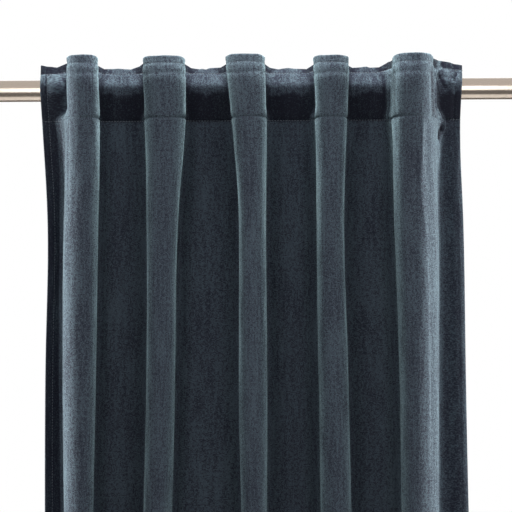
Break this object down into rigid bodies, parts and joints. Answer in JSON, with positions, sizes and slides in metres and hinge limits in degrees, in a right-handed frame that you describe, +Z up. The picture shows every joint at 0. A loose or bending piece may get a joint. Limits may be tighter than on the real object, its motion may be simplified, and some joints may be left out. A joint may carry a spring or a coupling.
{
  "type": "back tab curtain on a rod",
  "caption": "Velvet curtain panel with hidden back tabs, hanging in deep uneven columns from a plain round steel rod, doubled at its heading and hems.",
  "frame": {"origin": "on the rod's axis, at the middle of its length", "axes": "+Z up, +X along the rod to the right as seen from the room, +Y from the room towards the wall"},
  "size_m": [0.76, 0.1533, 2.402],
  "materials": {
    "velvet": "slate blue velvet with a short soft pile",
    "satin_steel": "satin, brushed along its length"
  },
  "bodies": {
    "root": {"curtain_panel": "velvet", "back_tab_1": "velvet", "back_tab_2": "velvet", "back_tab_3": "velvet", "back_tab_4": "velvet", "back_tab_5": "velvet", "back_tab_6": "velvet", "rod": "satin_steel"}
  },
  "joints": []
}
